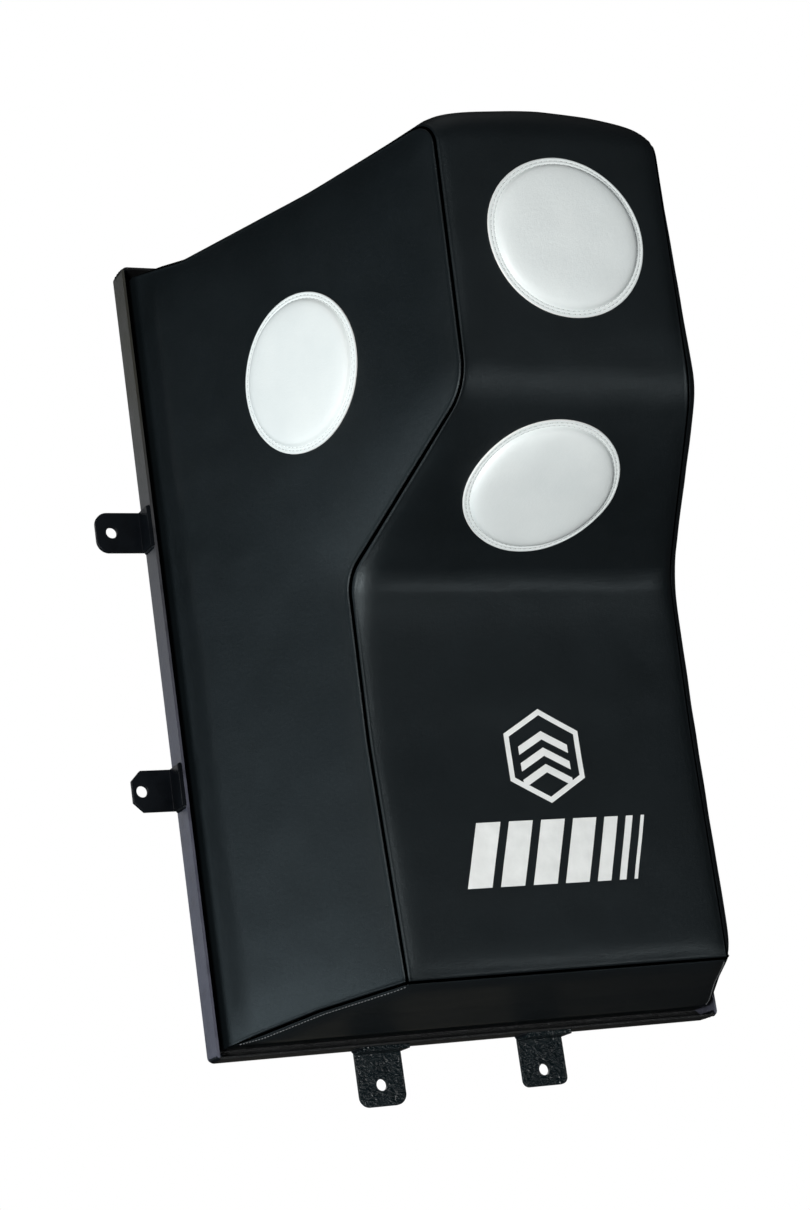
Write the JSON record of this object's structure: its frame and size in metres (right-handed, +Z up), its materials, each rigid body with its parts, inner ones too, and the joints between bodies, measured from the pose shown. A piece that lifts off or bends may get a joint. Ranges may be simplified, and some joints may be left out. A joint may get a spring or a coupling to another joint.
{
  "type": "wall-mounted punching pad",
  "caption": "Leather-covered foam punching pad with a forward head block and an undercut uppercut slope, held in a welded angle frame with wall bolt ears.",
  "frame": {"origin": "centre of the four bolt holes of the side ears, on the wall plane", "axes": "+X to the right seen from the front, +Y into the wall, +Z up; the pad's striking faces look towards -Y"},
  "size_m": [0.722, 0.4831, 1.019],
  "materials": {
    "frame_paint": "satin hammered black",
    "black_leather": "semi-matte fine grain",
    "white_leather": "semi-matte smooth",
    "plywood": "raw",
    "firm_foam": "matte foam",
    "soft_foam": "matte foam",
    "zinc_steel": "zinc plated"
  },
  "bodies": {
    "root": {"frame_rail_left": "frame_paint", "frame_rail_right": "frame_paint", "frame_rail_top": "frame_paint", "frame_rail_bottom": "frame_paint", "corner_welds": "frame_paint", "ear_left_upper": "frame_paint", "ear_left_lower": "frame_paint", "ear_right_upper": "frame_paint", "ear_right_lower": "frame_paint", "ear_top_left": "frame_paint", "ear_top_right": "frame_paint", "ear_bottom_left": "frame_paint", "ear_bottom_right": "frame_paint", "ear_welds": "frame_paint", "backboard": "plywood", "board_screws": "zinc_steel", "foam_core_body": "firm_foam", "foam_core_head": "firm_foam", "foam_face_body": "soft_foam", "foam_face_slope": "soft_foam", "foam_face_head": "soft_foam", "skin_left": "black_leather", "skin_right": "black_leather", "skin_front": "black_leather", "skin_bottom": "black_leather", "hem_staples": "zinc_steel", "target_puck_head": "soft_foam", "target_cover_head": "white_leather", "target_puck_slope": "soft_foam", "target_cover_slope": "white_leather", "target_puck_left": "soft_foam", "target_cover_left": "white_leather", "target_puck_right": "soft_foam", "target_cover_right": "white_leather"}
  },
  "joints": []
}
